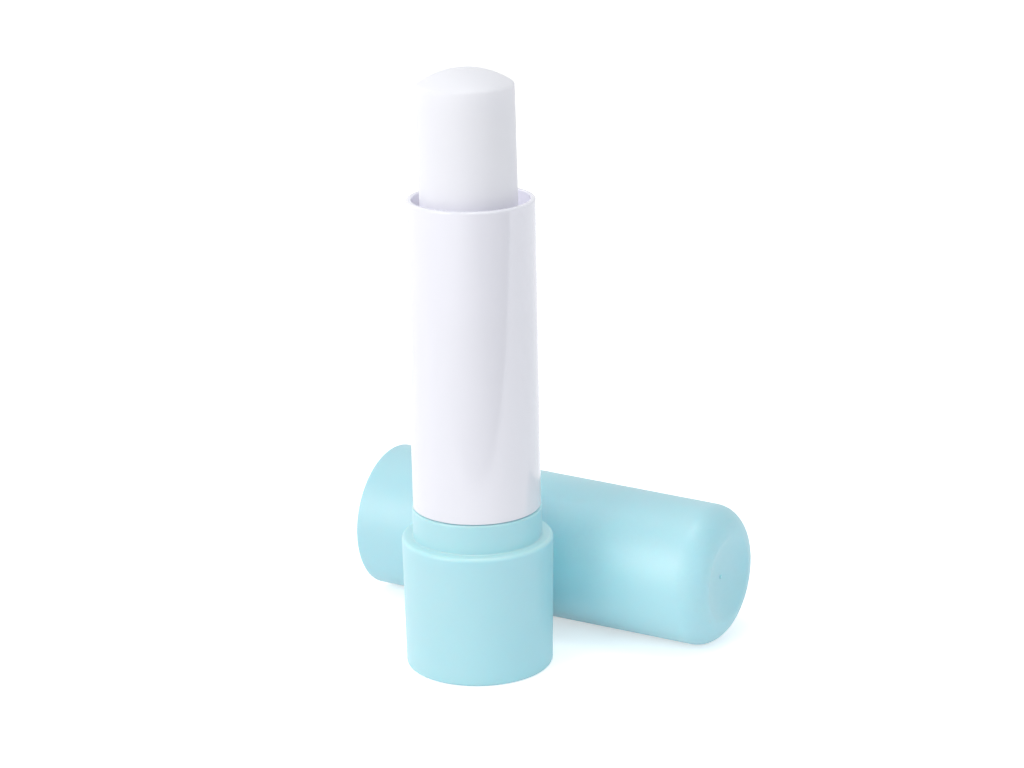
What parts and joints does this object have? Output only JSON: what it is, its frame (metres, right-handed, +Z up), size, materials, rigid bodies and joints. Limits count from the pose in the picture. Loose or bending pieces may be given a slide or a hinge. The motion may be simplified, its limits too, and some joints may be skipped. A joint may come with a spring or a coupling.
{
  "type": "lip balm",
  "caption": "Twist-up lip balm stick, open with the balm wound out of its white tube, on a pale blue base, and the matching cap lying on its side against it.",
  "frame": {"origin": "middle of the base's foot, on the surface that the stick stands on", "axes": "+Z up along the stick, from the foot to the balm's tip; the cap lies on the floor towards +Y, its closed end towards +X"},
  "size_m": [0.0526, 0.0476, 0.0774],
  "materials": {
    "blue_plastic": "satin, slightly translucent pale blue moulding",
    "white_plastic": "polished white moulding",
    "inner_plastic": "plain natural white moulding",
    "balm": "waxy, soft sheen"
  },
  "bodies": {
    "stand": {"base": "blue_plastic", "screw": "inner_plastic", "cap": "blue_plastic"},
    "barrel": {"tube": "white_plastic"},
    "lift": {"carriage": "inner_plastic", "balm": "balm"}
  },
  "joints": [
    {"name": "tube_turn", "type": "hinge", "parent": "stand", "child": "barrel", "pos_m": [0, 0, 0.02128], "axis": [0, 0, 1], "range_deg": [-1520, 1171]},
    {"name": "balm_travel", "type": "slide", "parent": "barrel", "child": "lift", "axis": [0, 0, 1], "range_m": [-0.01688, 0.013]}
  ],
  "couplings": [
    {"joint": "tube_turn", "follows": "balm_travel", "rad_per_m": 1570.8}
  ]
}
